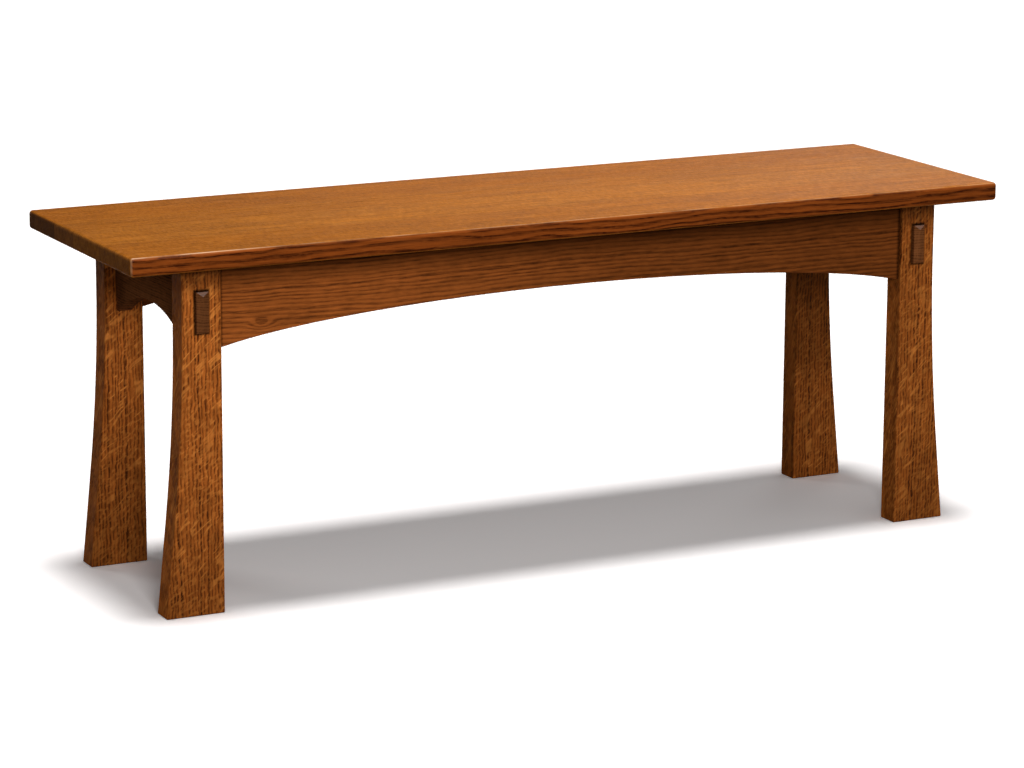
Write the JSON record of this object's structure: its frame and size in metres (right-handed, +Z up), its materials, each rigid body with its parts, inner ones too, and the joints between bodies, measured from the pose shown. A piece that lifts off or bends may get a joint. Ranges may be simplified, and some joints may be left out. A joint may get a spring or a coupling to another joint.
{
  "type": "apron bench",
  "caption": "Oak bench with an edge-glued seat, flared legs, arched aprons and through tenons that stand proud of the legs.",
  "frame": {"origin": "on the floor, under the middle of the seat", "axes": "+X along the bench to its right end, +Y to its back, +Z up"},
  "size_m": [1.2192, 0.3556, 0.4572],
  "materials": {
    "seat_oak": "satin",
    "leg_oak": "satin",
    "apron_oak": "satin",
    "end_apron_oak": "satin",
    "block_wood": "matte",
    "button_wood": "matte",
    "screw_steel": "satin"
  },
  "bodies": {
    "root": {"apron_back": "apron_oak", "apron_front": "apron_oak", "apron_left_end": "end_apron_oak", "apron_right_end": "end_apron_oak", "corner_block_back_left": "block_wood", "corner_block_back_right": "block_wood", "corner_block_front_left": "block_wood", "corner_block_front_right": "block_wood", "corner_block_screws": "screw_steel", "leg_back_left": "leg_oak", "leg_back_right": "leg_oak", "leg_front_left": "leg_oak", "leg_front_right": "leg_oak", "seat_board_back": "seat_oak", "seat_board_front": "seat_oak", "seat_board_mid_back": "seat_oak", "seat_board_mid_front": "seat_oak", "seat_button_back_left": "button_wood", "seat_button_back_middle": "button_wood", "seat_button_back_right": "button_wood", "seat_button_front_left": "button_wood", "seat_button_front_middle": "button_wood", "seat_button_front_right": "button_wood", "seat_button_left_end": "button_wood", "seat_button_right_end": "button_wood", "seat_button_screws": "screw_steel"}
  },
  "joints": []
}
